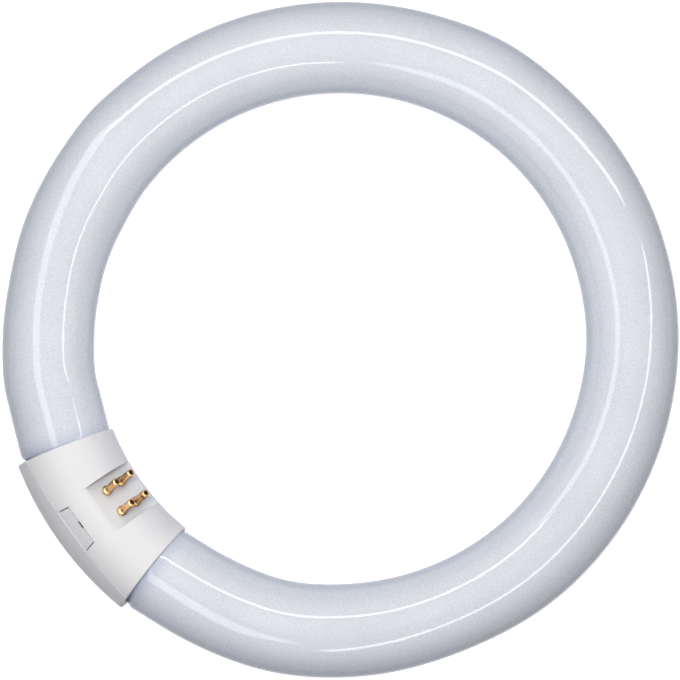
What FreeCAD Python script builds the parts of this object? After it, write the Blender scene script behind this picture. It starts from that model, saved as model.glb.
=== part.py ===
import FreeCAD
import Part

import math
import os

import Sketcher
from FreeCAD import Placement, Rotation, Vector

# A circular fluorescent tube with a four-pin plastic base, in millimetres and degrees.
# The ring lies in the XY plane with its centre at the origin. The base bridges the two tube ends
# on the -Y side, and its contact pins point up and towards the centre of the ring.
SIZES = {
    # glass ring and the straight run of each end into the base
    "ring_outer_diameter": 216.0,
    "tube_diameter": 29.0,
    "straight_length": 12.0,
    # sealed end of the glass: shoulder, neck, rounded rim, flared stem and exhaust nib
    "shoulder_lead": 0.5,
    "shoulder_radius": 4.0,
    "neck_reduction": 1.5,
    "neck_length": 3.3,
    "rim_radius": 4.0,
    "flare_diameter": 13.0,
    "flare_floor_diameter": 10.0,
    "flare_depth": 7.0,
    "nib_diameter": 3.6,
    "nib_length": 3.0,
    # moulded base
    "base_length": 48.4,
    "base_set_out": 0.95,
    "base_wall": 1.3,
    "base_end_wall": 1.6,
    "base_end_rounding": 0.6,
    "mouth_clearance": 0.15,
    # joint between the two halves of the base
    "parting_offset": 3.0,
    "parting_gap": 0.15,
    "back_step": 0.25,
    "latch_width": 14.5,
    "latch_tip_width": 13.0,
    "latch_height": 3.9,
    "latch_gap": 0.28,
    "latch_slot_width": 2.3,
    "latch_slot_depth": 0.55,
    # flat face that carries the pins
    "pin_elevation": 41.0,
    "face_inset": 3.2,
    "face_blend_radius": 4.2,
    "face_blend_lap": 0.2,
    "face_width": 16.4,
    "face_plate_thickness": 2.0,
    "face_plate_margin": 1.5,
    # contact pins
    "pin_pair_spacing": 7.92,
    "pin_row_spacing": 6.35,
    "pin_diameter": 2.4,
    "pin_length": 7.4,
    "pin_wall": 0.4,
    "pin_tip_rounding": 0.55,
    "pin_tip_hole": 0.9,
    "pin_tip_wall": 0.5,
    "pin_collar_bulge": 0.35,
    "pin_collar_height": 1.5,
    "pin_flange_diameter": 3.8,
    "pin_flange_thickness": 0.4,
    "pin_hole_clearance": 0.05,
    "crimp_width": 0.8,
    "crimp_length": 1.9,
    "crimp_depth": 0.26,
    "crimp_height": 3.1,
    # wires from the tube ends into the pins
    "wire_diameter": 0.6,
    "wire_offset": 3.4,
    "wire_bend_radius": 3.0,
    "wire_lead_out": 3.0,
    "wire_turn_depth": 7.0,
    "wire_tip_recess": 1.2,
}

doc = FreeCAD.newDocument("circular_tube")
sheet = doc.addObject("Spreadsheet::Sheet", "Sizes")
for row, (alias, value) in enumerate(SIZES.items(), start=1):
    sheet.set(f"A{row}", alias)
    sheet.set(f"B{row}", str(value))
    sheet.setAlias(f"B{row}", alias)
doc.recompute()

# Sizes that follow from the sheet, written as expressions.
TUBE_RADIUS = "(Sizes.tube_diameter / 2)"
RING_RADIUS = "((Sizes.ring_outer_diameter - Sizes.tube_diameter) / 2)"
BASE_AXIS = f"({RING_RADIUS} + Sizes.base_set_out)"
BASE_RADIUS = f"({TUBE_RADIUS} + Sizes.base_wall)"
BASE_HALF_ANGLE = f"(Sizes.base_length / {BASE_AXIS} / 2 * 180 / pi)"
END_WALL_ANGLE = f"(Sizes.base_end_wall / {BASE_AXIS} * 180 / pi)"
BEND_START = f"({BASE_HALF_ANGLE} + atan(Sizes.straight_length / {RING_RADIUS}) / (1 deg))"
SHOULDER_START = "(Sizes.straight_length - Sizes.shoulder_lead)"
SHOULDER_RUN = "sqrt(Sizes.shoulder_radius * Sizes.neck_reduction - Sizes.neck_reduction ^ 2 / 4)"
NECK_RADIUS = f"({TUBE_RADIUS} - Sizes.neck_reduction)"
NECK_START = f"({SHOULDER_START} + 2 * {SHOULDER_RUN})"
NECK_END = f"({NECK_START} + Sizes.neck_length)"
GLASS_END = f"({NECK_END} + Sizes.rim_radius)"
FLARE_FLOOR = f"({GLASS_END} - Sizes.flare_depth)"
FACE_HEIGHT = f"({BASE_RADIUS} - Sizes.face_inset)"
PLATE_FLOOR = f"({FACE_HEIGHT} - Sizes.face_plate_thickness)"
PLATE_HALF_CHORD = f"(sqrt({BASE_RADIUS} ^ 2 - {FACE_HEIGHT} ^ 2) - Sizes.face_inset / 4)"
LATCH_TOP = "(Sizes.parting_offset + Sizes.latch_height)"
PIN_RADIUS = "(Sizes.pin_diameter / 2)"
PIN_BORE = f"({PIN_RADIUS} - Sizes.pin_wall)"
PIN_FOOT = "(Sizes.face_plate_thickness + Sizes.pin_flange_thickness)"


def number(expression):
    """Reads an expression over the sheet as a plain number."""
    result = sheet.evalExpression(expression)
    return float(getattr(result, "Value", result))


def new_body(name):
    """Starts a sub-part of its own."""
    body = doc.addObject("PartDesign::Body", name)
    body.Label = name
    return body


def origin_plane(body, role):
    """Finds one of the three origin planes of a body."""
    return next(feature for feature in body.Origin.OriginFeatures if feature.Role == role)


def sketch_on(body, name, role, offset=None, axis=None, angle=None):
    """Puts a sketch on an origin plane, moved and turned by expressions."""
    sketch = body.newObject("Sketcher::SketchObject", name)
    sketch.AttachmentSupport = [(origin_plane(body, role), "")]
    sketch.MapMode = "FlatFace"
    if axis is not None:
        sketch.AttachmentOffset = Placement(Vector(), Rotation(axis, number(angle)))
        sketch.setExpression("AttachmentOffset.Rotation.Angle", angle)
    for letter, expression in (offset or {}).items():
        sketch.setExpression(f"AttachmentOffset.Base.{letter}", expression)
    return sketch


def lock(sketch, kind, geometry, point, expression):
    """Ties one coordinate of a sketch point to the sheet."""
    constraint = Sketcher.Constraint(kind, -1, 1, geometry, point, number(expression))
    index = sketch.addConstraint(constraint)
    sketch.setExpression(f"Constraints[{index}]", expression)


def lock_radius(sketch, geometry, expression):
    """Ties the radius of a circle or an arc to the sheet."""
    index = sketch.addConstraint(Sketcher.Constraint("Radius", geometry, number(expression)))
    sketch.setExpression(f"Constraints[{index}]", expression)


def circle(sketch, across, up, radius):
    """Draws a circle whose centre and radius come from the sheet."""
    centre = Vector(number(across), number(up), 0)
    geometry = sketch.addGeometry(Part.Circle(centre, Vector(0, 0, 1), number(radius)))
    lock(sketch, "DistanceX", geometry, 3, across)
    lock(sketch, "DistanceY", geometry, 3, up)
    lock_radius(sketch, geometry, radius)


def arc_between(start, finish, radius, leftward):
    """Makes the short arc between two points, with its centre to the left or right of the way."""
    chord = finish - start
    middle = (start + finish) / 2
    rise = math.sqrt(max(radius ** 2 - (chord.Length / 2) ** 2, 0.0))
    side = Vector(-chord.y, chord.x, 0).normalize()
    centre = middle + side * (rise if leftward else -rise)
    full = Part.Circle(centre, Vector(0, 0, 1), radius)
    first, last = (start, finish) if leftward else (finish, start)
    return Part.ArcOfCircle(full, full.parameter(first), full.parameter(last))


def outline(sketch, corners, arcs=None):
    """Draws a closed outline whose corners come from the sheet.

    An entry of arcs turns the edge that leaves a corner into an arc: its radius, and whether the
    centre lies to the left of the way.
    """
    arcs = arcs or {}
    points = [Vector(number(across), number(up), 0) for across, up in corners]
    ends = []
    for index, start in enumerate(points):
        finish = points[(index + 1) % len(points)]
        if index in arcs:
            radius, leftward = arcs[index]
            geometry = sketch.addGeometry(arc_between(start, finish, number(radius), leftward))
            ends.append((geometry, 1 if leftward else 2, 2 if leftward else 1))
        else:
            geometry = sketch.addGeometry(Part.LineSegment(start, finish))
            ends.append((geometry, 1, 2))
    for index, (geometry, _, last) in enumerate(ends):
        after, after_first, _ = ends[(index + 1) % len(ends)]
        sketch.addConstraint(Sketcher.Constraint("Coincident", geometry, last, after, after_first))
    for (across, up), (geometry, first, _) in zip(corners, ends):
        lock(sketch, "DistanceX", geometry, first, across)
        lock(sketch, "DistanceY", geometry, first, up)
    for index, (radius, _) in arcs.items():
        lock_radius(sketch, ends[index][0], radius)


def turned(body, kind, name, sketch, axis, angle):
    """Revolves a sketch about one of its axes, evenly to both sides of its plane."""
    feature = body.newObject(kind, name)
    feature.Profile = sketch
    feature.ReferenceAxis = (sketch, [axis])
    feature.Midplane = True
    feature.setExpression("Angle", angle)
    doc.recompute()
    return feature


def mirrored(body, name, original):
    """Repeats a feature on the other side of the base."""
    feature = body.newObject("PartDesign::Mirrored", name)
    feature.Originals = [original]
    feature.MirrorPlane = (origin_plane(body, "YZ_Plane"), [""])
    body.Tip = feature
    doc.recompute()
    return feature


def cut_through(body, name, sketch, length):
    """Cuts a sketch evenly to both sides of its plane."""
    feature = body.newObject("PartDesign::Pocket", name)
    feature.Profile = sketch
    feature.SideType = "Symmetric"
    feature.setExpression("Length", length)
    doc.recompute()
    return feature


def end_sketch(body, name):
    """Puts a sketch on a tube end: across runs along the end into the base, up is the radius."""
    offset = {"x": f"{RING_RADIUS} * sin({BEND_START})", "y": f"-{RING_RADIUS} * cos({BEND_START})"}
    return sketch_on(body, name, "XY_Plane", offset, Vector(0, 0, 1), f"180 + {BEND_START}")


def shoulder(gap):
    """Corners and arcs of the tube end from its full width to its neck, widened by a gap."""
    lean = f"{gap} / Sizes.shoulder_radius"
    corners = [
        ("0", "0"),
        ("0", f"{TUBE_RADIUS} + {gap}"),
        (SHOULDER_START, f"{TUBE_RADIUS} + {gap}"),
        (
            f"{SHOULDER_START} + {SHOULDER_RUN} * (1 + {lean})",
            f"{TUBE_RADIUS} - Sizes.neck_reduction / 2 + "
            f"(Sizes.shoulder_radius - Sizes.neck_reduction / 2) * {lean}",
        ),
        (NECK_START, f"{NECK_RADIUS} + {gap}"),
        (NECK_END, f"{NECK_RADIUS} + {gap}"),
    ]
    arcs = {2: (f"Sizes.shoulder_radius + {gap}", False), 3: (f"Sizes.shoulder_radius - {gap}", True)}
    return corners, arcs


def make_glass():
    """Makes the bent tube with its two sealed ends as one solid."""
    body = new_body("glass_tube")
    section = sketch_on(body, "tube_section", "YZ_Plane")
    circle(section, RING_RADIUS, "0", TUBE_RADIUS)
    turned(body, "PartDesign::Revolution", "tube_bend", section, "V_Axis", f"360 - 2 * {BEND_START}")
    corners, arcs = shoulder("0")
    corners += [
        (GLASS_END, f"{NECK_RADIUS} - Sizes.rim_radius"),
        (GLASS_END, "Sizes.flare_diameter / 2"),
        (FLARE_FLOOR, "Sizes.flare_floor_diameter / 2"),
        (FLARE_FLOOR, "Sizes.nib_diameter / 2"),
        (f"{GLASS_END} + Sizes.nib_length - Sizes.nib_diameter / 2", "Sizes.nib_diameter / 2"),
        (f"{GLASS_END} + Sizes.nib_length", "0"),
    ]
    arcs[5] = ("Sizes.rim_radius", False)
    arcs[10] = ("Sizes.nib_diameter / 2", False)
    profile = end_sketch(body, "end_profile")
    outline(profile, corners, arcs)
    end = turned(body, "PartDesign::Revolution", "tube_end", profile, "H_Axis", "360")
    mirrored(body, "tube_end_other", end)
    return body


def hull(body, name, radius, angle):
    """Adds a length of the round base, concentric with the ring."""
    section = sketch_on(body, f"{name}_section", "YZ_Plane")
    circle(section, f"-{BASE_AXIS}", "0", radius)
    return turned(body, "PartDesign::Revolution", name, section, "V_Axis", angle)


def round_ends(body, feature, radius):
    """Rounds the two end rims of a length of the base."""
    names = []
    for index, edge in enumerate(feature.Shape.Edges, start=1):
        if isinstance(edge.Curve, Part.Circle) and abs(edge.Curve.Radius - radius) < 0.001:
            if abs(edge.Curve.Axis.z) < 0.5 and abs(edge.Curve.Center.x) > 1.0:
                names.append(f"Edge{index}")
    rims = body.newObject("PartDesign::Fillet", "end_rims")
    rims.Base = (feature, names)
    rims.setExpression("Radius", "Sizes.base_end_rounding")
    doc.recompute()
    return rims


def hollow(body):
    """Cuts the room inside the base and the two mouths that take the tube ends."""
    section = sketch_on(body, "room_section", "YZ_Plane")
    circle(section, f"-{BASE_AXIS}", "0", f"{BASE_RADIUS} - Sizes.base_wall")
    sweep = f"2 * ({BASE_HALF_ANGLE} - {END_WALL_ANGLE})"
    turned(body, "PartDesign::Groove", "room", section, "V_Axis", sweep)
    corners, arcs = shoulder("Sizes.mouth_clearance")
    corners.append((NECK_END, "0"))
    profile = end_sketch(body, "mouth_profile")
    outline(profile, corners, arcs)
    mouth = turned(body, "PartDesign::Groove", "mouth", profile, "H_Axis", "360")
    mirrored(body, "mouth_other", mouth)


def across_sketch(body, name):
    """Puts a sketch on the plane through the base's axis and the pins' direction, seen across the base."""
    return sketch_on(body, name, "XY_Plane", {"y": f"-{BASE_AXIS}"}, Vector(1, 0, 0), "Sizes.pin_elevation")


def face_sketch(body, name, height):
    """Puts a sketch square to the pins, at a height above the base's axis."""
    offset = {
        "y": f"-{BASE_AXIS} + {height} * cos(Sizes.pin_elevation)",
        "z": f"{height} * sin(Sizes.pin_elevation)",
    }
    return sketch_on(body, name, "XY_Plane", offset, Vector(-1, 0, 0), "90 - Sizes.pin_elevation")


def rectangle(sketch, half_across, half_up):
    """Draws a rectangle centred on the sketch's origin."""
    signs = ((-1, -1), (1, -1), (1, 1), (-1, 1))
    outline(sketch, [(f"{across} * {half_across}", f"{up} * {half_up}") for across, up in signs])


FAR = "Sizes.base_length"
DEEP = f"(2 * {BASE_RADIUS})"


def cut_face(body):
    """Cuts the flat that carries the pins; towards the crown it runs out into the round of the base."""
    spot = {"x": f"-{BASE_AXIS}"}
    profile = sketch_on(body, "face_profile", "YZ_Plane", spot, Vector(0, 0, 1), "Sizes.pin_elevation - 90")
    inner = f"({BASE_RADIUS} - Sizes.face_blend_radius)"
    centre_up = f"({FACE_HEIGHT} - Sizes.face_blend_radius)"
    centre_across = f"(sqrt({inner} ^ 2 - {centre_up} ^ 2) + Sizes.face_blend_lap)"
    span = f"sqrt({centre_across} ^ 2 + {centre_up} ^ 2)"
    reach = f"(1 + Sizes.face_blend_radius / {span})"
    corners = [
        (DEEP, FACE_HEIGHT),
        (f"-{centre_across}", FACE_HEIGHT),
        (f"-{reach} * {centre_across}", f"{reach} * {centre_up}"),
        (f"-{DEEP}", f"{reach} * {centre_up}"),
        (f"-{DEEP}", DEEP),
        (DEEP, DEEP),
    ]
    outline(profile, corners, {1: ("Sizes.face_blend_radius", True)})
    cut_through(body, "pin_face", profile, "Sizes.face_width")


def cut_slot(body, name):
    """Cuts the narrow slot straight down at the tip of the upper tongue, where a blade lifts the latch."""
    level = f"({LATCH_TOP} + Sizes.latch_gap / 2)"
    reach = f"sqrt({BASE_RADIUS} ^ 2 - {level} ^ 2)"
    place = f"-{BASE_AXIS} + {level} * cos(Sizes.pin_elevation) - {reach} * sin(Sizes.pin_elevation)"
    mouth = sketch_on(body, f"{name}_outline", "XY_Plane", {"y": place})
    rectangle(mouth, "(Sizes.latch_slot_width / 2)", "(Sizes.latch_slot_depth / 2)")
    slot = body.newObject("PartDesign::Pocket", name)
    slot.Profile = mouth
    slot.Reversed = True
    slot.setExpression("Length", DEEP)
    doc.recompute()


def make_front():
    """Makes the half of the base that carries the pins."""
    body = new_body("base_front_shell")
    shell = hull(body, "front_hull", BASE_RADIUS, f"2 * {BASE_HALF_ANGLE}")
    round_ends(body, shell, number(BASE_RADIUS))
    hollow(body)
    level = "(Sizes.parting_offset + Sizes.parting_gap)"
    top = f"({LATCH_TOP} + Sizes.latch_gap)"
    foot = "(Sizes.latch_width / 2 + Sizes.latch_gap)"
    tip = "(Sizes.latch_tip_width / 2 + Sizes.latch_gap)"
    right = [(FAR, f"-{DEEP}"), (FAR, level), (foot, level), (tip, top)]
    left = [(f"-{across}", up) for across, up in reversed(right)]
    joint = across_sketch(body, "front_joint")
    outline(joint, right + left)
    cut_through(body, "front_half", joint, f"2 * {DEEP}")
    cut_slot(body, "front_slot")
    plate = face_sketch(body, "plate_outline", PLATE_FLOOR)
    rectangle(plate, "(Sizes.face_width / 2 + Sizes.face_plate_margin)", PLATE_HALF_CHORD)
    pad = body.newObject("PartDesign::Pad", "pin_plate")
    pad.Profile = plate
    pad.setExpression("Length", "Sizes.face_plate_thickness")
    doc.recompute()
    cut_face(body)
    holes = face_sketch(body, "hole_pattern", FACE_HEIGHT)
    for pair, row in ((1, 1), (-1, 1), (-1, -1), (1, -1)):
        across = f"{pair} * Sizes.pin_pair_spacing / 2"
        up = f"{row} * Sizes.pin_row_spacing / 2"
        circle(holes, across, up, f"{PIN_RADIUS} + Sizes.pin_hole_clearance")
    cut_through(body, "pin_holes", holes, "3 * Sizes.face_plate_thickness")
    return body


def make_back():
    """Makes the half that closes the base, with the two tongues that latch it to the front."""
    body = new_body("base_back_shell")
    outer = f"({BASE_RADIUS} + Sizes.back_step)"
    shell = hull(body, "back_hull", outer, f"2 * {BASE_HALF_ANGLE}")
    round_ends(body, shell, number(outer))
    above = across_sketch(body, "above_joint")
    level = "Sizes.parting_offset"
    outline(above, [(f"-{FAR}", level), (FAR, level), (FAR, DEEP), (f"-{FAR}", DEEP)])
    cut_through(body, "back_half", above, f"2 * {DEEP}")
    hull(body, "tongue_hull", BASE_RADIUS, f"2 * atan(Sizes.latch_width / {BASE_AXIS}) / (1 deg)")
    hollow(body)
    right = [
        (FAR, DEEP),
        (FAR, level),
        ("Sizes.latch_width / 2", level),
        ("Sizes.latch_tip_width / 2", LATCH_TOP),
    ]
    left = [(f"-{across}", up) for across, up in reversed(right)]
    joint = across_sketch(body, "back_joint")
    outline(joint, right + left)
    cut_through(body, "tongues", joint, f"2 * {DEEP}")
    cut_slot(body, "back_slot")
    return body


def make_pin(name, pair, row):
    """Makes one hollow contact pin on the flat face of the base."""
    body = new_body(name)
    body.Placement = Placement(Vector(), Rotation(Vector(-1, 0, 0), number("90 - Sizes.pin_elevation")))
    body.setExpression("Placement.Rotation.Angle", "90 - Sizes.pin_elevation")
    body.setExpression("Placement.Base.x", f"{pair} * Sizes.pin_pair_spacing / 2")
    lift = f"{row} * Sizes.pin_row_spacing / 2"
    body.setExpression(
        "Placement.Base.y",
        f"-{BASE_AXIS} + {FACE_HEIGHT} * cos(Sizes.pin_elevation) - {lift} * sin(Sizes.pin_elevation)",
    )
    body.setExpression(
        "Placement.Base.z", f"{FACE_HEIGHT} * sin(Sizes.pin_elevation) + {lift} * cos(Sizes.pin_elevation)"
    )
    bulge = "Sizes.pin_collar_bulge"
    chord = "Sizes.pin_collar_height"
    collar_radius = f"(({chord} ^ 2 / 4 + {bulge} ^ 2) / (2 * {bulge}))"
    corners = [
        (PIN_BORE, f"-{PIN_FOOT}"),
        ("Sizes.pin_flange_diameter / 2", f"-{PIN_FOOT}"),
        ("Sizes.pin_flange_diameter / 2", "-Sizes.face_plate_thickness"),
        (PIN_RADIUS, "-Sizes.face_plate_thickness"),
        (PIN_RADIUS, "0"),
        (f"{PIN_RADIUS} + Sizes.pin_wall / 4", "0"),
        (PIN_RADIUS, chord),
        (PIN_RADIUS, "Sizes.pin_length - Sizes.pin_tip_rounding"),
        (f"{PIN_RADIUS} - Sizes.pin_tip_rounding", "Sizes.pin_length"),
        ("Sizes.pin_tip_hole / 2", "Sizes.pin_length"),
        ("Sizes.pin_tip_hole / 2", "Sizes.pin_length - Sizes.pin_tip_wall"),
        (PIN_BORE, "Sizes.pin_length - Sizes.pin_tip_wall"),
    ]
    arcs = {5: (collar_radius, True), 7: ("Sizes.pin_tip_rounding", True)}
    profile = sketch_on(body, f"{name}_profile", "XZ_Plane")
    outline(profile, corners, arcs)
    turned(body, "PartDesign::Revolution", f"{name}_shell", profile, "V_Axis", "360")
    press = sketch_on(body, f"{name}_press", "XZ_Plane", {"z": f"{PIN_RADIUS} - Sizes.crimp_depth"})
    low = "(Sizes.crimp_height - Sizes.crimp_length / 2)"
    high = "(Sizes.crimp_height + Sizes.crimp_length / 2)"
    side = "Sizes.crimp_width / 2"
    outline(press, [(f"-{side}", low), (side, low), (side, high), (f"-{side}", high)])
    crimp = body.newObject("PartDesign::Pocket", f"{name}_crimp")
    crimp.Profile = press
    crimp.Reversed = True
    crimp.setExpression("Length", PIN_RADIUS)
    doc.recompute()
    return body


def rounded_path(points, radius):
    """Joins points by straight runs with a tangent arc at each turn."""
    edges = []
    start = points[0]
    for before, corner, after in zip(points, points[1:], points[2:]):
        arriving = (corner - before).normalize()
        leaving = (after - corner).normalize()
        turn = arriving.getAngle(leaving)
        reach = radius * math.tan(turn / 2)
        entry = corner - arriving * reach
        leave = corner + leaving * reach
        inward = (leaving - arriving).normalize()
        middle = corner + inward * (radius / math.cos(turn / 2) - radius)
        edges.append(Part.LineSegment(start, entry).toShape())
        edges.append(Part.Arc(entry, middle, leave).toShape())
        start = leave
    edges.append(Part.LineSegment(start, points[-1]).toShape())
    return Part.Wire(edges)


def make_wire(name, pair, row):
    """Makes one wire from the flared stem of a tube end up into its pin."""
    bend = math.radians(number(BEND_START))
    tilt = math.radians(number("Sizes.pin_elevation"))
    ring = number(RING_RADIUS)
    along = Vector(-pair * math.cos(bend), -math.sin(bend), 0)
    tangent_point = Vector(pair * ring * math.sin(bend), -ring * math.cos(bend), 0)
    pin_way = Vector(0, math.cos(tilt), math.sin(tilt))
    row_way = Vector(0, -math.sin(tilt), math.cos(tilt))
    spread = Vector(0, 0, row * number("Sizes.wire_offset"))
    stem = tangent_point + along * number(FLARE_FLOOR) + spread
    clear = tangent_point + along * number(f"{GLASS_END} + Sizes.wire_lead_out") + spread
    socket = Vector(pair * number("Sizes.pin_pair_spacing / 2"), -number(BASE_AXIS), 0)
    socket += row_way * (row * number("Sizes.pin_row_spacing / 2"))
    turn = socket + pin_way * number(f"{FACE_HEIGHT} - Sizes.wire_turn_depth")
    tip = socket + pin_way * number(f"{FACE_HEIGHT} + Sizes.pin_length - Sizes.wire_tip_recess")
    path = doc.addObject("Part::Feature", f"{name}_path")
    path.Shape = rounded_path([stem, clear, turn, tip], number("Sizes.wire_bend_radius"))
    section = doc.addObject("Part::Circle", f"{name}_section")
    section.setExpression("Radius", "Sizes.wire_diameter / 2")
    section.Placement = Placement(stem, Rotation(Vector(0, 0, 1), along))
    sweep = doc.addObject("Part::Sweep", name)
    sweep.Label = name
    sweep.Sections = [section]
    sweep.Spine = (path, [f"Edge{index}" for index in range(1, len(path.Shape.Edges) + 1)])
    sweep.Solid = True
    doc.recompute()
    return sweep


parts = [make_glass(), make_front(), make_back()]
positions = ((1, 1), (-1, 1), (-1, -1), (1, -1))
for count, (pair, row) in enumerate(positions, start=1):
    parts.append(make_pin(f"contact_pin_{count}", pair, row))
for count, (pair, row) in enumerate(positions, start=1):
    parts.append(make_wire(f"lead_wire_{count}", pair, row))
doc.recompute()

for item in doc.Objects:
    if "Invalid" in item.State or "Error" in item.State:
        raise RuntimeError(f"{item.Label} did not recompute: {item.State}")
os.makedirs("parts", exist_ok=True)
for part in parts:
    if part.Shape.isNull() or not part.Shape.isValid() or len(part.Shape.Solids) != 1:
        raise RuntimeError(f"{part.Label} is not one valid solid")
    part.Shape.exportStep(f"parts/{part.Label}.step")
    print(part.Label, round(part.Shape.Volume, 1), part.Shape.BoundBox)
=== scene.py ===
"""Dresses a circular fluorescent tube: hand-bent opal glass, moulded base, brass pins and studio."""

import logging
import math
from dataclasses import dataclass
from enum import Enum
from typing import Any

import bpy
from mathutils import Matrix, Vector

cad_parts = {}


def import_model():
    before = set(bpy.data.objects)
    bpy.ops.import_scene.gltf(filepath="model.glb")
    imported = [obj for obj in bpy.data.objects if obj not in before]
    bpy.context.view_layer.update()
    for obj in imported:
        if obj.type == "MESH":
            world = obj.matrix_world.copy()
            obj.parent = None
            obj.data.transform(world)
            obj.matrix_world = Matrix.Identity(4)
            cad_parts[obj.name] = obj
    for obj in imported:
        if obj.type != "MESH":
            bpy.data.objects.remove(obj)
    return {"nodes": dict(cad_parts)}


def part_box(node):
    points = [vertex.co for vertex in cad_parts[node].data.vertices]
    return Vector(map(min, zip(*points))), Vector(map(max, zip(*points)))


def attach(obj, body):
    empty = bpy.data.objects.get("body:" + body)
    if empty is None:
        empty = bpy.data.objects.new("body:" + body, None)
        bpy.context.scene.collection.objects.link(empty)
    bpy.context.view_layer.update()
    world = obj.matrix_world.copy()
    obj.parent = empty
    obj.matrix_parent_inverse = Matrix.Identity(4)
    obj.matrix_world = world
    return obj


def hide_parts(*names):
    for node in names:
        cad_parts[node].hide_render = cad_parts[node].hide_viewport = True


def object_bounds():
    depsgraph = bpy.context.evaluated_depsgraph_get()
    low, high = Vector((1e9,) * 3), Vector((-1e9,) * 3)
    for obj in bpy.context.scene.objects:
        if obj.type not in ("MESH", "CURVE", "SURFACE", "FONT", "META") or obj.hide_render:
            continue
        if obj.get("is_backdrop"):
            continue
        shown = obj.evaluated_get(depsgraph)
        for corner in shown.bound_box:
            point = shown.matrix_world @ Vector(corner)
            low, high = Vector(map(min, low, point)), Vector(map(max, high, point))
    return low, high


Colour = tuple[float, float, float]
Direction = tuple[float, float, float]
Socket = bpy.types.NodeSocket

BODY = "root"
MILLIMETRE = 0.001
# Name of the mesh value that carries the painted shade near the base's mouths.
GREY_ENDS = "grey_ends"
UPWARD: Direction = (0.0, 0.0, 1.0)
# The pins slant 41 degrees above the plane of the ring.
PIN_RUN: Direction = (0.0, 0.7547, 0.6561)
# Places of the colour mix node's sockets, whose names repeat.
MIX_FACTOR = 0
MIX_FIRST = 6
MIX_SECOND = 7
MIX_RESULT = 2
SHELTER_SAMPLES = 8
BEVEL_SAMPLES = 6

log = logging.getLogger("circular_tube")


class Slot(Enum):
    """The record's material slots."""

    GLASS = "opal_glass"
    PLASTIC = "base_plastic"
    BRASS = "pin_brass"
    NICKEL = "lead_nickel"


class Rays(Enum):
    """The kinds of ray that see the pale background itself, not its light."""

    CAMERA = "Is Camera Ray"
    GLOSSY = "Is Glossy Ray"
    TRANSMISSION = "Is Transmission Ray"


class Reach(Enum):
    """What a lamp does: it lights matt surfaces, or it shows in gloss."""

    LIGHT = "light"
    GLOSS = "gloss"


class NodeBoard:
    """A node tree that is wired with short calls."""

    def __init__(self, tree: bpy.types.NodeTree) -> None:
        """Empties a node tree and keeps it.

        Args:
            tree: The tree of a material or of the world.
        """
        self.tree = tree
        self.tree.nodes.clear()

    def add(self, kind: str, **values: Any) -> bpy.types.Node:
        """Adds a node and sets its own properties.

        Args:
            kind: The node's type name.
            **values: Properties of the node.

        Returns:
            The new node.
        """
        node = self.tree.nodes.new(kind)
        for name, value in values.items():
            setattr(node, name, value)
        return node

    def wire(self, output: Socket, entry: Socket) -> None:
        """Joins an output to an input."""
        self.tree.links.new(output, entry)

    def any_ray(self) -> Socket:
        """Adds up the rays that see the background itself.

        Returns:
            A socket that is 1 for those rays and 0 for the rest.
        """
        path = self.add("ShaderNodeLightPath")
        total = path.outputs[Rays.CAMERA.value]
        for ray in (Rays.GLOSSY, Rays.TRANSMISSION):
            plus = self.add("ShaderNodeMath", operation="ADD", use_clamp=True)
            self.wire(total, plus.inputs[0])
            self.wire(path.outputs[ray.value], plus.inputs[1])
            total = plus.outputs[0]
        return total


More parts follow.
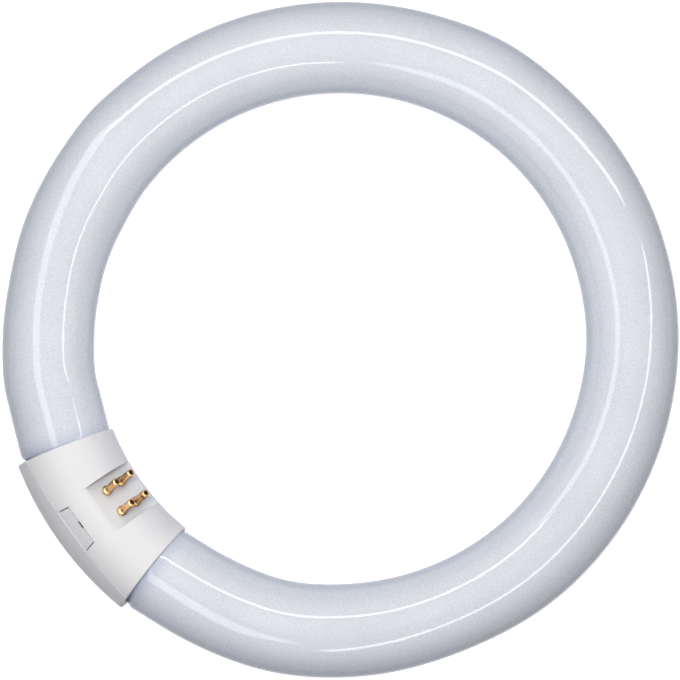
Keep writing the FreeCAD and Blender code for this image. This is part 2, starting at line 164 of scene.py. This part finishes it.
class Surface(NodeBoard):
    """A principled surface with procedural textures, placed in the frame's own metres."""

    def __init__(self, name: str) -> None:
        """Starts a material with one principled shader.

        Args:
            name: The material's name.
        """
        self.material = bpy.data.materials.new(name)
        self.material.use_nodes = True
        super().__init__(self.material.node_tree)
        self.shader = self.add("ShaderNodeBsdfPrincipled")
        self.place = self.add("ShaderNodeTexCoord").outputs["Object"]
        output = self.add("ShaderNodeOutputMaterial")
        self.wire(self.shader.outputs["BSDF"], output.inputs["Surface"])

    def fix(self, **values: Any) -> None:
        """Sets shader inputs that are the same all over the surface."""
        for name, value in values.items():
            self.shader.inputs[name.replace("_", " ")].default_value = value

    def noise(self, grain: float, detail: float = 2.0, roughness: float = 0.5) -> Socket:
        """Adds a noise texture.

        Args:
            grain: Size of its largest lumps in metres.
            detail: Number of finer layers.
            roughness: Weight of the finer layers.

        Returns:
            The noise value.
        """
        texture = self.add("ShaderNodeTexNoise")
        texture.inputs["Scale"].default_value = 1.0 / grain
        texture.inputs["Detail"].default_value = detail
        texture.inputs["Roughness"].default_value = roughness
        self.wire(self.place, texture.inputs["Vector"])
        return texture.outputs["Fac"]

    def colours(self, factor: Socket, stops: list[tuple[float, Colour]]) -> Socket:
        """Turns a value into a colour.

        Args:
            factor: The value.
            stops: Places along the ramp with their colours.

        Returns:
            The colour.
        """
        ramp = self.add("ShaderNodeValToRGB")
        elements = ramp.color_ramp.elements
        for index, (position, colour) in enumerate(stops):
            element = elements[index] if index < 2 else elements.new(position)
            element.position = position
            element.color = (*colour, 1.0)
        self.wire(factor, ramp.inputs["Fac"])
        return ramp.outputs["Color"]

    def mottle(self, factor: Socket, dark: Colour, pale: Colour, edge: float = 0.3) -> Socket:
        """Fades between two shades over the middle of a noise value.

        Args:
            factor: The noise value.
            dark: The shade at its lower edge.
            pale: The shade at its upper edge.
            edge: Lower edge; the upper one lies as far below 1.

        Returns:
            The colour.
        """
        return self.colours(factor, [(edge, dark), (1.0 - edge, pale)])

    def blend(self, factor: Socket, first: Socket, second: Socket) -> Socket:
        """Mixes two colours.

        Args:
            factor: Share of the second colour.
            first: The colour below.
            second: The colour above.

        Returns:
            The mixed colour.
        """
        mix = self.add("ShaderNodeMix", data_type="RGBA")
        self.wire(factor, mix.inputs[MIX_FACTOR])
        self.wire(first, mix.inputs[MIX_FIRST])
        self.wire(second, mix.inputs[MIX_SECOND])
        return mix.outputs[MIX_RESULT]

    def spread(self, factor: Socket, low: float, high: float, edge: float = 0.25) -> Socket:
        """Maps the middle of a noise value to a range.

        Args:
            factor: The noise value.
            low: Result at the lower edge.
            high: Result at the upper edge.
            edge: Lower edge; the upper one lies as far below 1.

        Returns:
            The mapped value.
        """
        ranged = self.add("ShaderNodeMapRange")
        ranged.inputs["From Min"].default_value = edge
        ranged.inputs["From Max"].default_value = 1.0 - edge
        ranged.inputs["To Min"].default_value = low
        ranged.inputs["To Max"].default_value = high
        self.wire(factor, ranged.inputs["Value"])
        return ranged.outputs["Result"]

    def grazing(self, face: float, rim: float, start: float = 0.5, full: float = 0.95) -> Socket:
        """Gives a value that changes towards the outline.

        Args:
            face: The value where the surface is seen square on.
            rim: The value where it is seen edge on.
            start: How far the surface has turned away where the change starts, from 0 to 1.
            full: How far it has turned away where the change is done.

        Returns:
            The value.
        """
        ranged = self.add("ShaderNodeMapRange")
        ranged.inputs["From Min"].default_value = start
        ranged.inputs["From Max"].default_value = full
        ranged.inputs["To Min"].default_value = face
        ranged.inputs["To Max"].default_value = rim
        self.wire(self.add("ShaderNodeLayerWeight").outputs["Facing"], ranged.inputs["Value"])
        return ranged.outputs["Result"]

    def square_to(self, run: Direction, start: float, full: float) -> Socket:
        """Finds faces that lie square to a direction.

        Args:
            run: The direction, of length 1.
            start: Share of a face's normal along the direction where the value leaves 0.
            full: Share where it reaches 1.

        Returns:
            A value that is 1 on such a face and 0 on the sides.
        """
        along = self.add("ShaderNodeVectorMath", operation="DOT_PRODUCT")
        along.inputs[1].default_value = run
        self.wire(self.add("ShaderNodeNewGeometry").outputs["Normal"], along.inputs[0])
        ranged = self.add("ShaderNodeMapRange")
        ranged.inputs["From Min"].default_value = start
        ranged.inputs["From Max"].default_value = full
        self.wire(along.outputs["Value"], ranged.inputs["Value"])
        return ranged.outputs["Result"]

    def leaning(self, lean: Direction) -> Socket:
        """Tilts the surface's normal.

        Args:
            lean: What is added to the normal.

        Returns:
            The tilted normal, of length 1.
        """
        tilted = self.add("ShaderNodeVectorMath", operation="ADD")
        tilted.inputs[1].default_value = lean
        self.wire(self.add("ShaderNodeNewGeometry").outputs["Normal"], tilted.inputs[0])
        scaled = self.add("ShaderNodeVectorMath", operation="NORMALIZE")
        self.wire(tilted.outputs["Vector"], scaled.inputs[0])
        return scaled.outputs["Vector"]

    def shade_in_nooks(
        self, reach: float, outlook: Socket | None = None, deep: float = 0.5, airy: float = 0.85
    ) -> Socket:
        """Finds corners and hollows, for painted shade or painted shadow.

        Args:
            reach: How far from a corner the shade still reaches, in metres.
            outlook: The way the surface looks for what shelters it, if not along its normal;
                pieces beside it count too then.
            deep: Openness of a place that is fully shaded.
            airy: Openness of a place that is not shaded.

        Returns:
            A value that is 1 in a corner and 0 in the open.
        """
        shelter = self.add("ShaderNodeAmbientOcclusion", samples=SHELTER_SAMPLES, only_local=outlook is None)
        shelter.inputs["Distance"].default_value = reach
        if outlook is not None:
            self.wire(outlook, shelter.inputs["Normal"])
        ranged = self.add("ShaderNodeMapRange")
        ranged.inputs["From Min"].default_value = deep
        ranged.inputs["From Max"].default_value = airy
        ranged.inputs["To Min"].default_value = 1.0
        ranged.inputs["To Max"].default_value = 0.0
        self.wire(shelter.outputs["AO"], ranged.inputs["Value"])
        return ranged.outputs["Result"]

    def relief(self, height: Socket, depth: float, below: Socket | None = None) -> Socket:
        """Turns a height into a bumped normal.

        Args:
            height: The height, from 0 to 1.
            depth: Depth of the relief in metres.
            below: A normal that the relief is laid over.

        Returns:
            The bumped normal.
        """
        bump = self.add("ShaderNodeBump")
        bump.inputs["Distance"].default_value = depth
        self.wire(height, bump.inputs["Height"])
        if below is not None:
            self.wire(below, bump.inputs["Normal"])
        return bump.outputs["Normal"]

    def softened_edges(self, radius: float) -> Socket:
        """Rounds sharp edges in the shading.

        Args:
            radius: Radius of the rounding in metres.

        Returns:
            The rounded normal.
        """
        bevel = self.add("ShaderNodeBevel", samples=BEVEL_SAMPLES)
        bevel.inputs["Radius"].default_value = radius
        return bevel.outputs["Normal"]

    def give(self, output: Socket, name: str) -> None:
        """Joins an output to an input of the shader."""
        self.wire(output, self.shader.inputs[name])


@dataclass(frozen=True)
class OpalGlass:
    """Clear glass over a white powder coating: cool white and grainy; darker and bluer towards its outline,
    partly the thicker glass wall's tint and partly painted shade; painted shade at the ends.
    """

    shade: Colour = (0.65, 0.67, 0.72)
    light: Colour = (0.88, 0.895, 0.94)
    # Painted shade: darker, lilac flanks where the glass turns away from the view.
    flank_shade: Colour = (0.598, 0.622, 0.69)
    flank_light: Colour = (0.81, 0.832, 0.902)
    flank_start: float = 0.1
    flank_full: float = 0.5
    # The thicker glass wall's tint at the outline, darkened further as painted shade; also the colour of the
    # painted shade at the ends.
    rim: Colour = (0.285, 0.345, 0.50)
    rim_light: Colour = (0.315, 0.375, 0.53)
    rim_start: float = 0.45
    gloss_tint: Colour = (0.84, 0.91, 1.0)
    gloss_face: float = 0.5
    gloss_rim: float = 0.1
    refraction: float = 1.5
    powder_grain: float = 0.45 * MILLIMETRE
    cloud_grain: float = 22.0 * MILLIMETRE
    cloud_least: float = 0.12
    cloud_most: float = 0.22
    ripple_grain: float = 20.0 * MILLIMETRE
    ripple_depth: float = 0.010 * MILLIMETRE
    smooth: float = 0.045
    dull: float = 0.085

    def make(self) -> bpy.types.Material:
        """Builds the material.

        Returns:
            The finished material.
        """
        surface = Surface("opal_glass")
        powder = surface.noise(self.powder_grain, detail=3.0, roughness=0.7)
        cloud = surface.noise(self.cloud_grain, detail=2.0)
        speckle = surface.mottle(powder, self.shade, self.light)
        drift = surface.mottle(cloud, self.shade, self.light)
        share = surface.spread(cloud, self.cloud_least, self.cloud_most)
        coating = surface.blend(share, speckle, drift)
        # Painted shade: the flanks darken and turn lilac as the glass turns away from the view.
        flank = surface.mottle(powder, self.flank_shade, self.flank_light)
        turned = surface.grazing(0.0, 1.0, self.flank_start, self.flank_full)
        coating = surface.blend(turned, coating, flank)
        # Darker, bluer colour at the outline: the glass wall's tint with painted shade.
        wall_tint_and_shade = surface.mottle(powder, self.rim, self.rim_light)
        # Painted shade that darkens the glass towards the base's mouths.
        ends = surface.add("ShaderNodeAttribute", attribute_name=GREY_ENDS).outputs["Fac"]
        end_shaded = surface.blend(ends, coating, wall_tint_and_shade)
        # Painted shade at the outline, with the glass wall's tint.
        rimmed = surface.grazing(0.0, 1.0, self.rim_start)
        surface.give(surface.blend(rimmed, end_shaded, wall_tint_and_shade), "Base Color")
        surface.give(surface.grazing(self.gloss_face, self.gloss_rim), "Specular IOR Level")
        surface.give(surface.spread(cloud, self.smooth, self.dull), "Roughness")
        ripple = surface.noise(self.ripple_grain, detail=1.0)
        surface.give(surface.relief(ripple, self.ripple_depth), "Normal")
        surface.fix(IOR=self.refraction, Specular_Tint=(*self.gloss_tint, 1.0))
        return surface.material


@dataclass(frozen=True)
class MouldedPlastic:
    """White moulded plastic with a fine matt skin, with painted shade on its sides, painted pin shadows and a
    cooler painted tint on the pin face.
    """

    name: str
    shade: Colour = (0.80, 0.794, 0.803)
    light: Colour = (0.87, 0.861, 0.858)
    # Painted shade on the sides: darker and lilac where less light falls.
    side_shade_dark: Colour = (0.775, 0.765, 0.80)
    side_shade_pale: Colour = (0.845, 0.832, 0.858)
    # A cooler painted tint on the pin face that cancels the warm light bounced from the brass pins.
    face_shade: Colour = (0.785, 0.796, 0.823)
    face_light: Colour = (0.855, 0.864, 0.882)
    # Painted shadows of the pins on the pin face, darkest where the pins hide it from the lean direction.
    pin_shadow_dark: Colour = (0.56, 0.565, 0.575)
    pin_shadow_pale: Colour = (0.63, 0.632, 0.64)
    pin_shadow_reach: float = 6.0 * MILLIMETRE
    pin_shadow_lean: Direction = (-0.9, -0.2, 0.3)
    face_start: float = 0.992
    face_full: float = 0.999
    mottle_edge: float = 0.25
    cloud_grain: float = 14.0 * MILLIMETRE
    speckle_least: float = 0.35
    speckle_most: float = 0.55
    skin_grain: float = 0.28 * MILLIMETRE
    skin_depth: float = 0.012 * MILLIMETRE
    edge_radius: float = 0.16 * MILLIMETRE
    smooth: float = 0.42
    dull: float = 0.55
    bloom: float = 0.15
    refraction: float = 1.49
    # Where the painted side shade gives way to the top's colours.
    side_share: float = 0.5
    top_share: float = 0.9

    def make(self) -> bpy.types.Material:
        """Builds the material.

        Returns:
            The finished material.
        """
        surface = Surface(self.name)
        skin = surface.noise(self.skin_grain, detail=2.0, roughness=0.6)
        cloud = surface.noise(self.cloud_grain, detail=4.0)
        drift = surface.mottle(cloud, self.shade, self.light, self.mottle_edge)
        speckle = surface.mottle(skin, self.shade, self.light, self.mottle_edge)
        share = surface.spread(cloud, self.speckle_least, self.speckle_most)
        body = surface.blend(share, drift, speckle)
        # Painted shade: the sides are darker and lilac, the top keeps the plain colours.
        painted_side_tone = surface.mottle(cloud, self.side_shade_dark, self.side_shade_pale, self.mottle_edge)
        upward = surface.square_to(UPWARD, self.side_share, self.top_share)
        body = surface.blend(upward, painted_side_tone, body)
        face = surface.mottle(cloud, self.face_shade, self.face_light, self.mottle_edge)
        # Painted shadow: the pin face darkens beside the pins, on the side away from the lean.
        pin_shadow_tone = surface.mottle(cloud, self.pin_shadow_dark, self.pin_shadow_pale, self.mottle_edge)
        pin_shadow_mask = surface.shade_in_nooks(self.pin_shadow_reach, surface.leaning(self.pin_shadow_lean))
        face = surface.blend(pin_shadow_mask, face, pin_shadow_tone)
        # The pin face gets its cooler painted tint and the painted pin shadows.
        on_face = surface.square_to(PIN_RUN, self.face_start, self.face_full)
        surface.give(surface.blend(on_face, body, face), "Base Color")
        surface.give(surface.spread(skin, self.smooth, self.dull), "Roughness")
        rounded = surface.softened_edges(self.edge_radius)
        surface.give(surface.relief(skin, self.skin_depth, rounded), "Normal")
        surface.fix(IOR=self.refraction, Sheen_Weight=self.bloom)
        return surface.material


@dataclass(frozen=True)
class ContactBrass:
    """Drawn brass with painted shade: browner on its sides and beneath, dark on its end faces and in its
    corners and hollows.
    """

    bright: Colour = (0.98, 0.67, 0.33)
    worn: Colour = (0.93, 0.53, 0.24)
    # Tarnish in the random tone, and also a colour of the painted shade.
    tarnish_and_shade: Colour = (0.26, 0.135, 0.052)
    # Painted shade: the darkest colour, on the end faces and in corners and hollows.
    deepest_shade: Colour = (0.05, 0.035, 0.022)
    # Painted shade on the sides and beneath.
    underside_shade: Colour = (0.36, 0.195, 0.075)
    tarnish_stop: float = 0.28
    worn_stop: float = 0.44
    bright_stop: float = 0.62
    blotch_grain: float = 1.6 * MILLIMETRE
    scratch_grain: float = 0.16 * MILLIMETRE
    scratch_depth: float = 0.006 * MILLIMETRE
    edge_radius: float = 0.07 * MILLIMETRE
    nook_reach: float = 0.5 * MILLIMETRE
    # Where the painted side shade gives way to the lit top.
    side_share: float = 0.2
    crown_share: float = 0.68
    # Faces along the pin's run that get painted shade.
    cut_start: float = 0.85
    cut_full: float = 0.97
    smooth: float = 0.2
    dull: float = 0.42

    def make(self) -> bpy.types.Material:
        """Builds the material.

        Returns:
            The finished material.
        """
        surface = Surface("contact_brass")
        blotch = surface.noise(self.blotch_grain, detail=4.0, roughness=0.6)
        scratch = surface.noise(self.scratch_grain, detail=2.0)
        stops = [
            (self.tarnish_stop, self.tarnish_and_shade),
            (self.worn_stop, self.worn),
            (self.bright_stop, self.bright),
        ]
        metal = surface.colours(blotch, stops)
        # Painted shade for the end faces and for corners and hollows.
        dark = surface.mottle(blotch, self.deepest_shade, self.tarnish_and_shade)
        # Painted shade: the pins' sides and undersides are browner and darker than their tops.
        brass_side_shade = surface.mottle(blotch, self.tarnish_and_shade, self.underside_shade)
        crown = surface.square_to(UPWARD, self.side_share, self.crown_share)
        shaded_below = surface.blend(crown, brass_side_shade, metal)
        # Painted shade on the end faces.
        cut_end = surface.square_to(PIN_RUN, self.cut_start, self.cut_full)
        capped = surface.blend(cut_end, shaded_below, dark)
        # Painted shade in corners and hollows.
        surface.give(surface.blend(surface.shade_in_nooks(self.nook_reach), capped, dark), "Base Color")
        surface.give(surface.spread(scratch, self.smooth, self.dull), "Roughness")
        rounded = surface.softened_edges(self.edge_radius)
        surface.give(surface.relief(scratch, self.scratch_depth, rounded), "Normal")
        surface.fix(Metallic=1.0)
        return surface.material


@dataclass(frozen=True)
class LeadNickel:
    """Dull nickel-plated wire."""

    bright: Colour = (0.62, 0.6, 0.57)
    dim: Colour = (0.4, 0.385, 0.36)
    grain: float = 0.5 * MILLIMETRE
    smooth: float = 0.28
    dull: float = 0.45

    def make(self) -> bpy.types.Material:
        """Builds the material.

        Returns:
            The finished material.
        """
        surface = Surface("lead_nickel")
        blotch = surface.noise(self.grain, detail=3.0)
        surface.give(surface.mottle(blotch, self.dim, self.bright), "Base Color")
        surface.give(surface.spread(blotch, self.dull, self.smooth), "Roughness")
        surface.fix(Metallic=1.0)
        return surface.material


@dataclass(frozen=True)
class StudioPaper:
    """White paper that shows as white and still takes a soft shadow."""

    shade: Colour = (0.545, 0.56, 0.595)
    light: Colour = (0.575, 0.59, 0.625)
    glow: float = 0.80
    glow_colour: Colour = (1.0, 1.0, 1.0)
    dull: float = 0.9
    fibre_grain: float = 3.0 * MILLIMETRE

    def make(self) -> bpy.types.Material:
        """Builds the material.

        Returns:
            The finished material.
        """
        surface = Surface("studio_paper")
        fibre = surface.noise(self.fibre_grain, detail=3.0)
        surface.give(surface.mottle(fibre, self.shade, self.light), "Base Color")
        surface.fix(Roughness=self.dull, Emission_Color=(*self.glow_colour, 1.0))
        scaled = surface.add("ShaderNodeMath", operation="MULTIPLY")
        scaled.inputs[1].default_value = self.glow
        surface.wire(surface.any_ray(), scaled.inputs[0])
        surface.give(scaled.outputs[0], "Emission Strength")
        return surface.material


def put_on(thing: bpy.types.Object, material: bpy.types.Material) -> None:
    """Gives every face of an object one material.

    Args:
        thing: A piece or a CAD node.
        material: The finish.
    """
    slots = thing.material_slots
    if not slots:
        thing.data.materials.append(material)
    for slot in slots:
        slot.material = material


def mesh_piece(name: str, points: list[Vector], faces: list[list[int]]) -> bpy.types.Object:
    """Makes a smooth mesh object and puts it in the scene.

    Args:
        name: The piece's name.
        points: Its corners in metres.
        faces: Its faces by corner number.

    Returns:
        The new object.
    """
    mesh = bpy.data.meshes.new(name)
    mesh.from_pydata(points, [], faces)
    mesh.validate()
    mesh.shade_smooth()
    piece = bpy.data.objects.new(name, mesh)
    bpy.context.scene.collection.objects.link(piece)
    return piece


@dataclass(frozen=True)
class HandBend:
    """A place where the hot glass was bent a little out of true; place and reach in degrees, rest in mm."""

    place: float
    reach: float
    sway: float
    swell: float

    def share(self, place: float) -> float:
        """Gives how much of the bend is felt at a place on the ring."""
        return math.exp(-(((place - self.place) / self.reach) ** 2))


@dataclass
class GlassRing:
    """The bent glass tube, with the slight unevenness of glass that was bent hot by hand."""

    straight_length: float = 12.0 * MILLIMETRE
    base_length: float = 48.4 * MILLIMETRE
    base_set_out: float = 0.95 * MILLIMETRE
    shoulder_lead: float = 1.5 * MILLIMETRE
    shoulder_radius: float = 4.0 * MILLIMETRE
    neck_reduction: float = 1.5 * MILLIMETRE
    neck_length: float = 4.3 * MILLIMETRE
    rim_radius: float = 4.0 * MILLIMETRE
    # Painted shade near the mouths: how far from a mouth it starts and its darkest share.
    grey_reach: float = 6.5 * MILLIMETRE
    grey_share: float = 0.62
    slack: float = 0.05 * MILLIMETRE
    calm_angle: float = 7.0
    bends: tuple[HandBend, ...] = (
        HandBend(-152.0, 6.0, 0.45, 0.0),
        HandBend(-133.0, 7.0, -0.35, -0.15),
        HandBend(-116.0, 8.0, -0.2, 0.2),
        HandBend(-101.0, 5.0, 0.2, 0.2),
        HandBend(-23.0, 9.0, 0.35, 0.3),
        HandBend(39.0, 12.0, 0.15, -0.15),
        HandBend(105.0, 13.0, -0.48, -0.42),
        HandBend(138.0, 10.0, 0.6, -0.1),
    )
    steps_round_ring: int = 640
    steps_round_tube: int = 96
    steps_per_arc: int = 8

    def __post_init__(self) -> None:
        """Reads the ring's main sizes from the frame."""
        low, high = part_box("glass_tube")
        self.tube_radius = (high.z - low.z) / 2.0
        self.ring_radius = (high.x - low.x) / 2.0 - self.tube_radius
        base_axis = self.ring_radius + self.base_set_out
        mouth = self.base_length / base_axis / 2.0
        self.bend_end = math.pi - mouth - math.atan(self.straight_length / self.ring_radius)

    def unevenness(self, angle: float) -> tuple[float, float]:
        """Adds up the hand bends at a place.

        Args:
            angle: Place on the ring in radians, from the point opposite the base.

        Returns:
            The outward sway of the axis and the change of the tube's radius, zero at both ends of the bend.
        """
        place = math.degrees(angle)
        ease = min(1.0, (math.degrees(self.bend_end) - abs(place)) / self.calm_angle)
        ease *= ease * (3.0 - 2.0 * ease)
        sway = sum(bend.sway * bend.share(place) for bend in self.bends) * MILLIMETRE
        swell = sum(bend.swell * bend.share(place) for bend in self.bends) * MILLIMETRE
        return (sway - self.slack) * ease, swell * ease

    def end_profile(self) -> list[tuple[float, float]]:
        """Lists the sealed end's stations, from the bend's end to the rim.

        Returns:
            Pairs of distance along the end and radius there.
        """
        run = math.sqrt(self.shoulder_radius * self.neck_reduction - self.neck_reduction ** 2 / 4.0)
        sweep = math.asin(run / self.shoulder_radius)
        start = self.straight_length - self.shoulder_lead
        neck = self.tube_radius - self.neck_reduction
        count = 2 * self.steps_per_arc
        stations = [(start * step / count, self.tube_radius) for step in range(1, count)]
        for step in range(self.steps_per_arc + 1):
            turn = sweep * step / self.steps_per_arc
            drop = self.shoulder_radius * (1.0 - math.cos(turn))
            stations.append((start + self.shoulder_radius * math.sin(turn), self.tube_radius - drop))
        for step in range(1, self.steps_per_arc + 1):
            turn = sweep * (1.0 - step / self.steps_per_arc)
            rise = self.shoulder_radius * (1.0 - math.cos(turn))
            along = start + 2.0 * run - self.shoulder_radius * math.sin(turn)
            stations.append((along, neck + rise))
        rim_start = start + 2.0 * run + self.neck_length
        for step in range(self.steps_per_arc + 1):
            turn = math.pi / 2.0 * step / self.steps_per_arc
            inner = neck - self.rim_radius + self.rim_radius * math.cos(turn)
            stations.append((rim_start + self.rim_radius * math.sin(turn), inner))
        return stations

    def greyness(self, along: float) -> float:
        """Gives how much painted shade darkens a straight end towards the base's mouth.

        Args:
            along: Distance from the bend's end.

        Returns:
            The share of painted shade, from 0 up to the most at the base's mouth.
        """
        near = 1.0 - (self.straight_length - along) / self.grey_reach
        near = min(1.0, max(0.0, near))
        return self.grey_share * near * near

    def sections(self) -> list[tuple[Vector, Vector, float, float]]:
        """Lists the tube's round sections from one sealed end to the other.

        Returns:
            The centre, the outward direction, the radius and the share of painted end shade of each section.
        """
        found = []
        for side in (-1.0, 1.0):
            angle = side * self.bend_end
            outward = Vector((math.sin(angle), math.cos(angle), 0.0))
            along = side * Vector((math.cos(angle), -math.sin(angle), 0.0))
            end = []
            for run, radius in self.end_profile():
                centre = outward * self.ring_radius + along * run
                end.append((centre, outward, radius, self.greyness(run)))
            found.append(end)
        bend = []
        for step in range(self.steps_round_ring + 1):
            angle = self.bend_end * (2.0 * step / self.steps_round_ring - 1.0)
            outward = Vector((math.sin(angle), math.cos(angle), 0.0))
            sway, swell = self.unevenness(angle)
            bend.append((outward * (self.ring_radius + sway), outward, self.tube_radius + swell, 0.0))
        return found[0][::-1] + bend + found[1]

    def build(self) -> bpy.types.Object:
        """Sweeps the glass along its path and closes both ends.

        Returns:
            The glass piece.
        """
        points = []
        faces = []
        greys = []
        count = self.steps_round_tube
        up = Vector(UPWARD)
        rings = self.sections()
        for centre, outward, radius, grey in rings:
            for step in range(count):
                turn = 2.0 * math.pi * step / count
                points.append(centre + radius * (math.cos(turn) * outward + math.sin(turn) * up))
                greys.append(grey)
        for ring in range(len(rings) - 1):
            for step in range(count):
                after = (step + 1) % count
                here, there = ring * count, (ring + 1) * count
                faces.append([here + step, here + after, there + after, there + step])
        last = (len(rings) - 1) * count
        faces.append(list(range(count))[::-1])
        faces.append([last + step for step in range(count)])
        glass = mesh_piece("glass_ring", points, faces)
        # Stores the painted shade near the mouths on the mesh.
        glass.data.attributes.new(GREY_ENDS, "FLOAT", "POINT").data.foreach_set("value", greys)
        return glass

    def dress(self, glass: bpy.types.Object) -> None:
        """Finishes the glass and lets it stand for its solid.

        Args:
            glass: The glass piece.
        """
        put_on(glass, OpalGlass().make())
        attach(glass, BODY)
        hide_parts("glass_tube")
        log.info("%s: %d faces", glass.name, len(glass.data.polygons))


@dataclass
class MouldedBase:
    """The two halves of the white base, of one white plastic; the back half's darker, lilac colours are
    painted shade.
    """

    front: MouldedPlastic = MouldedPlastic("front_plastic")
    # Painted shade: the back half's copy of the white is darker and lilac, for the light that reaches it
    # less.
    back: MouldedPlastic = MouldedPlastic(
        "back_plastic_shaded",
        shade=(0.72, 0.711, 0.743),
        light=(0.783, 0.771, 0.794),
        side_shade_dark=(0.70, 0.685, 0.74),
        side_shade_pale=(0.76, 0.745, 0.797),
    )

    def dress(self, nodes: dict[str, bpy.types.Object]) -> None:
        """Finishes both halves.

        Args:
            nodes: The frame's CAD nodes by name.
        """
        for name, plastic in (("base_front_shell", self.front), ("base_back_shell", self.back)):
            put_on(nodes[name], plastic.make())
            log.info("%s: %s", name, plastic.name)


@dataclass
class Contacts:
    """The brass pins and the wires that are soldered into them."""

    count: int = 4

    def dress(self, nodes: dict[str, bpy.types.Object]) -> None:
        """Finishes the pins and their wires.

        Args:
            nodes: The frame's CAD nodes by name.
        """
        brass = ContactBrass().make()
        nickel = LeadNickel().make()
        for number in range(1, self.count + 1):
            put_on(nodes[f"contact_pin_{number}"], brass)
            put_on(nodes[f"lead_wire_{number}"], nickel)
            log.info("contact_pin_%d: brass, with its wire", number)


@dataclass
class StripLight:
    """A straight lamp or card that hangs level above the ring."""

    name: str
    start: tuple[float, float]
    finish: tuple[float, float]
    height: float
    width: float
    radiance: float
    reach: Reach

    def build(self) -> bpy.types.Object:
        """Hangs the lamp and turns it to the ring.

        Returns:
            The lamp.
        """
        first = Vector((*self.start, self.height))
        last = Vector((*self.finish, self.height))
        middle = (first + last) / 2.0
        along = (last - first).normalized()
        away = middle - middle.dot(along) * along
        away.normalize()
        lamp = bpy.data.lights.new(self.name, "AREA")
        lamp.shape = "RECTANGLE"
        lamp.size = (last - first).length
        lamp.size_y = self.width
        lamp.energy = self.radiance * math.pi * lamp.size * lamp.size_y
        holder = bpy.data.objects.new(self.name, lamp)
        turned = Matrix((along, away.cross(along), away)).transposed().to_4x4()
        holder.matrix_world = Matrix.Translation(middle) @ turned
        holder.visible_glossy = self.reach is Reach.GLOSS
        holder.visible_diffuse = self.reach is Reach.LIGHT
        bpy.context.scene.collection.objects.link(holder)
        return holder


@dataclass
class Studio:
    """White paper, a pale room, three strip lamps that show in the glass, and soft light on everything."""

    floor_half_width: float = 4.0
    room_colour: Colour = (0.93, 0.96, 1.0)
    room_level: float = 0.06
    lamps: tuple[StripLight, ...] = (
        StripLight("strip_right", (0.313, -0.273), (0.165, 0.522), 0.378, 0.038, 7.6, Reach.GLOSS),
        StripLight("strip_front", (-0.335, -0.063), (0.140, -0.189), 0.256, 0.074, 3.6, Reach.GLOSS),
        StripLight("strip_back", (0.063, 0.473), (-0.347, -0.060), 0.367, 0.046, 8.0, Reach.GLOSS),
        StripLight("overhead_card", (-0.026, -0.098), (-0.026, 0.102), 0.420, 0.200, 12.6, Reach.LIGHT),
        StripLight("glow_back", (0.063, 0.473), (-0.347, -0.060), 0.367, 0.100, 1.4, Reach.LIGHT),
    )

    def build(self, ground: float) -> None:
        """Lays the floor, lights the room and hangs the lamps.

        Args:
            ground: Height of the floor.
        """
        half = self.floor_half_width
        corners = [Vector((x * half, y * half, ground)) for x, y in ((-1, -1), (1, -1), (1, 1), (-1, 1))]
        floor = mesh_piece("floor", corners, [[0, 1, 2, 3]])
        put_on(floor, StudioPaper().make())
        floor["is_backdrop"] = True
        world = bpy.data.worlds.new("pale_room")
        bpy.context.scene.world = world
        world.use_nodes = True
        board = NodeBoard(world.node_tree)
        background = board.add("ShaderNodeBackground")
        background.inputs["Color"].default_value = (*self.room_colour, 1.0)
        level = board.add("ShaderNodeMapRange")
        level.inputs["To Min"].default_value = self.room_level
        level.inputs["To Max"].default_value = 1.0
        board.wire(board.any_ray(), level.inputs["Value"])
        board.wire(level.outputs["Result"], background.inputs["Strength"])
        output = board.add("ShaderNodeOutputWorld")
        board.wire(background.outputs["Background"], output.inputs["Surface"])
        for lamp in self.lamps:
            lamp.build()
        log.info("studio: floor and %d lamps", len(self.lamps))


@dataclass
class Viewpoint:
    """The camera, almost straight above the ring."""

    place: tuple[float, float, float] = (0.0270, -0.0012, 0.3962)
    target: tuple[float, float, float] = (0.00165, -0.0003, 0.0)
    roll: float = math.radians(53.02)
    sensor_width: float = 36.0
    picture_width: float = 680.0
    focal_pixels: float = 1238.4
    nearest: float = 0.01

    def build(self) -> bpy.types.Object:
        """Places the camera and makes it the scene's own.

        Returns:
            The camera.
        """
        lens = bpy.data.cameras.new("viewpoint")
        lens.sensor_fit = "HORIZONTAL"
        lens.sensor_width = self.sensor_width
        lens.lens = self.focal_pixels / self.picture_width * self.sensor_width
        lens.clip_start = self.nearest
        camera = bpy.data.objects.new("viewpoint", lens)
        back = (Vector(self.place) - Vector(self.target)).normalized()
        top = Vector((-math.sin(self.roll), math.cos(self.roll), 0.0))
        right = top.cross(back).normalized()
        turned = Matrix((right, back.cross(right), back)).transposed().to_4x4()
        camera.matrix_world = Matrix.Translation(self.place) @ turned
        bpy.context.scene.collection.objects.link(camera)
        bpy.context.scene.camera = camera
        return camera


def main() -> None:
    """Builds the dressed tube and its studio."""
    logging.basicConfig(level=logging.INFO, format="%(name)s %(message)s")
    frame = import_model()
    cad_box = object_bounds()
    bpy.context.scene.view_settings.view_transform = "Standard"
    Viewpoint().build()
    Studio().build(cad_box[0].z)
    ring = GlassRing()
    ring.dress(ring.build())
    MouldedBase().dress(frame["nodes"])
    Contacts().dress(frame["nodes"])


if __name__ == "__main__":
    main()
